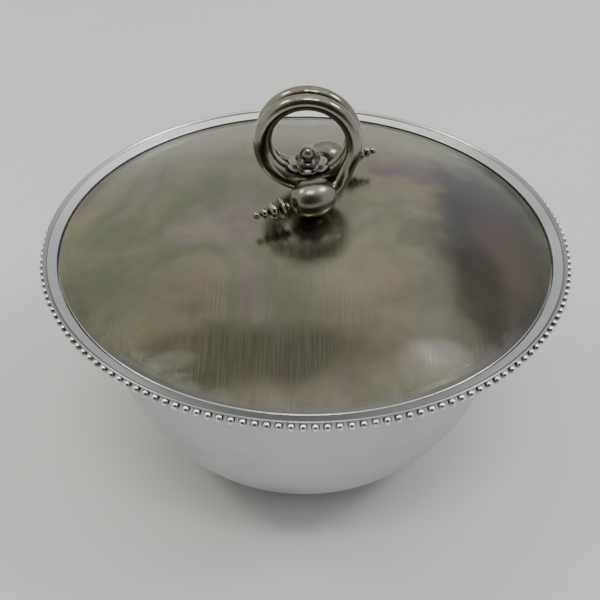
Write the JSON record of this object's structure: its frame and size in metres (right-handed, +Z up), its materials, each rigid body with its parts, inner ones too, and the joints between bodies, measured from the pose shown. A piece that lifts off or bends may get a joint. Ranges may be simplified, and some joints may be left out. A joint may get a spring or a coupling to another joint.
{
  "type": "covered sugar bowl",
  "caption": "Round-bottomed silver sugar bowl with a flat beaded rim and a shallow domed lid lifted by a coiled ring handle with buds and graduated beads.",
  "frame": {"origin": "on the table, under the centre of the bowl", "axes": "+Z up through the centre of the bowl and the ring handle; the plane of the ring is close to XZ; -Y is the side the picture was taken from"},
  "size_m": [0.1316, 0.1316, 0.1016],
  "materials": {
    "satin_silver": "satin",
    "bright_silver": "polished",
    "toned_silver": "polished, lightly tarnished"
  },
  "bodies": {
    "bowl": {"bowl_body": "satin_silver", "rim_flange": "bright_silver", "beaded_wire": "bright_silver"},
    "lid": {"lid_dome": "toned_silver", "lid_edge_wire": "bright_silver", "lid_bezel": "toned_silver", "handle_coil": "toned_silver", "handle_post": "bright_silver", "flower_leaves": "bright_silver", "flower_petals": "bright_silver", "flower_ball": "bright_silver", "front_bud": "bright_silver", "front_collar": "bright_silver", "front_disc": "bright_silver", "front_bead_large": "bright_silver", "front_bead_small": "bright_silver", "front_bead_tip": "bright_silver", "rear_bud": "bright_silver", "rear_collar": "bright_silver", "rear_disc": "bright_silver", "rear_bead_large": "bright_silver", "rear_bead_small": "bright_silver", "rear_bead_tip": "bright_silver", "lid_washer": "bright_silver", "lid_nut": "bright_silver"}
  },
  "joints": [
    {"name": "lid_lift", "type": "slide", "parent": "bowl", "child": "lid", "axis": [0, 0, 1], "range_m": [0, 0.06]}
  ]
}
